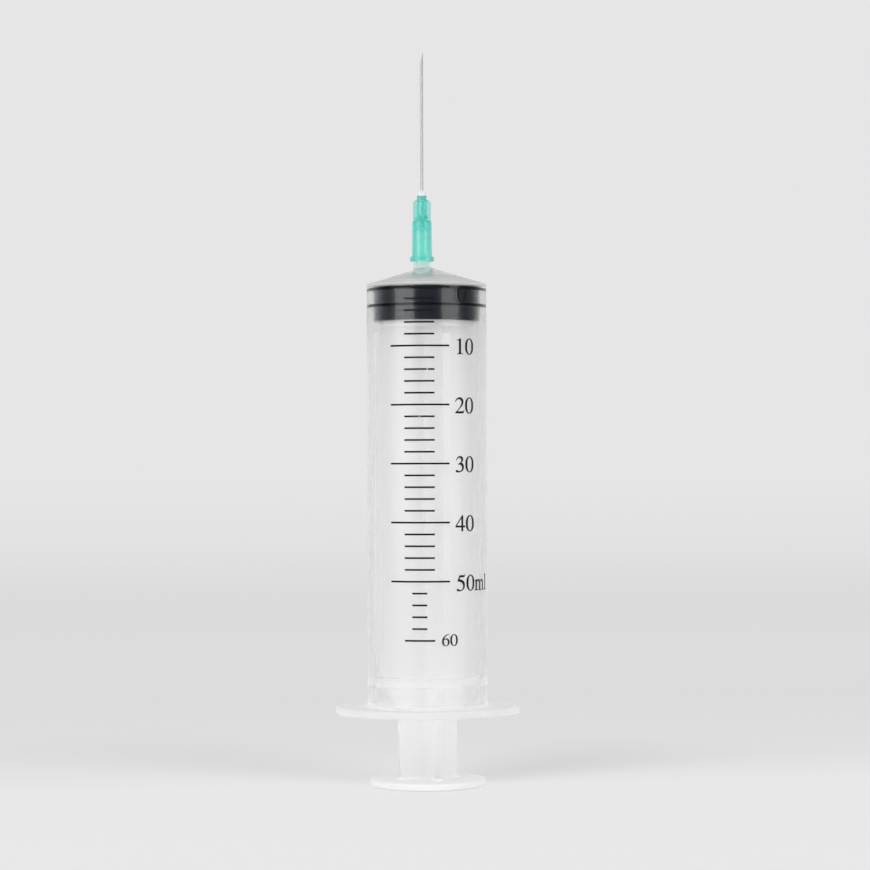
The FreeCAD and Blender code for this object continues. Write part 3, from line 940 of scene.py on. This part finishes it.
    def camera(self, look):
        data = bpy.data.cameras.new("camera")
        data.lens = look.focal_length
        data.sensor_width = 36
        data.clip_start = 0.01
        camera = bpy.data.objects.new("camera", data)
        bpy.context.scene.collection.objects.link(camera)
        azimuth = look.camera_azimuth
        place = Vector((math.sin(azimuth), -math.cos(azimuth), 0)) * look.camera_distance
        place.z = look.camera_height
        turn = Matrix.Rotation(azimuth - look.camera_yaw, 4, "Z")
        tilt = Matrix.Rotation(math.pi / 2 + look.camera_pitch, 4, "X")
        lean = Matrix.Rotation(-look.camera_roll, 4, "Z")
        camera.matrix_world = Matrix.Translation(place) @ turn @ tilt @ lean
        bpy.context.scene.camera = camera

    def execute(self, context):
        look = context.scene.syringe_stage
        context.scene.view_settings.view_transform = "Standard"
        self.floor(look)
        self.backdrop(look)
        azimuth = look.camera_azimuth
        self.soft_box("soft_box_left", azimuth + LEFT_BOX_TURN, LEFT_BOX_WIDTH, look.left_box)
        self.soft_box("soft_box_right", azimuth + RIGHT_BOX_TURN, RIGHT_BOX_WIDTH, look.right_box)
        self.camera(look)
        return {"FINISHED"}


class SYRINGE_PT_panel(bpy.types.Panel):
    """Steps that finish the syringe"""

    bl_idname = "SYRINGE_PT_panel"
    bl_label = "Syringe"
    bl_space_type = "VIEW_3D"
    bl_region_type = "UI"
    bl_category = "Syringe"

    def draw(self, context):
        for step in STEPS:
            self.layout.operator(step.bl_idname)


STEPS = (
    SYRINGE_OT_barrel,
    SYRINGE_OT_rod,
    SYRINGE_OT_stopper,
    SYRINGE_OT_hub,
    SYRINGE_OT_needle,
    SYRINGE_OT_scale,
    SYRINGE_OT_stage,
)
GROUPS = (SyringePrint, SyringeFinish, SyringeStage)


def register():
    for group in GROUPS:
        bpy.utils.register_class(group)
    bpy.types.Scene.syringe_print = PointerProperty(type=SyringePrint)
    bpy.types.Scene.syringe_finish = PointerProperty(type=SyringeFinish)
    bpy.types.Scene.syringe_stage = PointerProperty(type=SyringeStage)
    for step in STEPS:
        bpy.utils.register_class(step)
    bpy.utils.register_class(SYRINGE_PT_panel)


def unregister():
    bpy.utils.unregister_class(SYRINGE_PT_panel)
    for step in reversed(STEPS):
        bpy.utils.unregister_class(step)
    del bpy.types.Scene.syringe_stage
    del bpy.types.Scene.syringe_finish
    del bpy.types.Scene.syringe_print
    for group in reversed(GROUPS):
        bpy.utils.unregister_class(group)


def main():
    register()
    bpy.ops.syringe.barrel()
    bpy.ops.syringe.rod()
    bpy.ops.syringe.stopper()
    bpy.ops.syringe.hub()
    bpy.ops.syringe.needle()
    bpy.ops.syringe.scale()
    bpy.ops.syringe.stage()


if __name__ == "__main__":
    main()
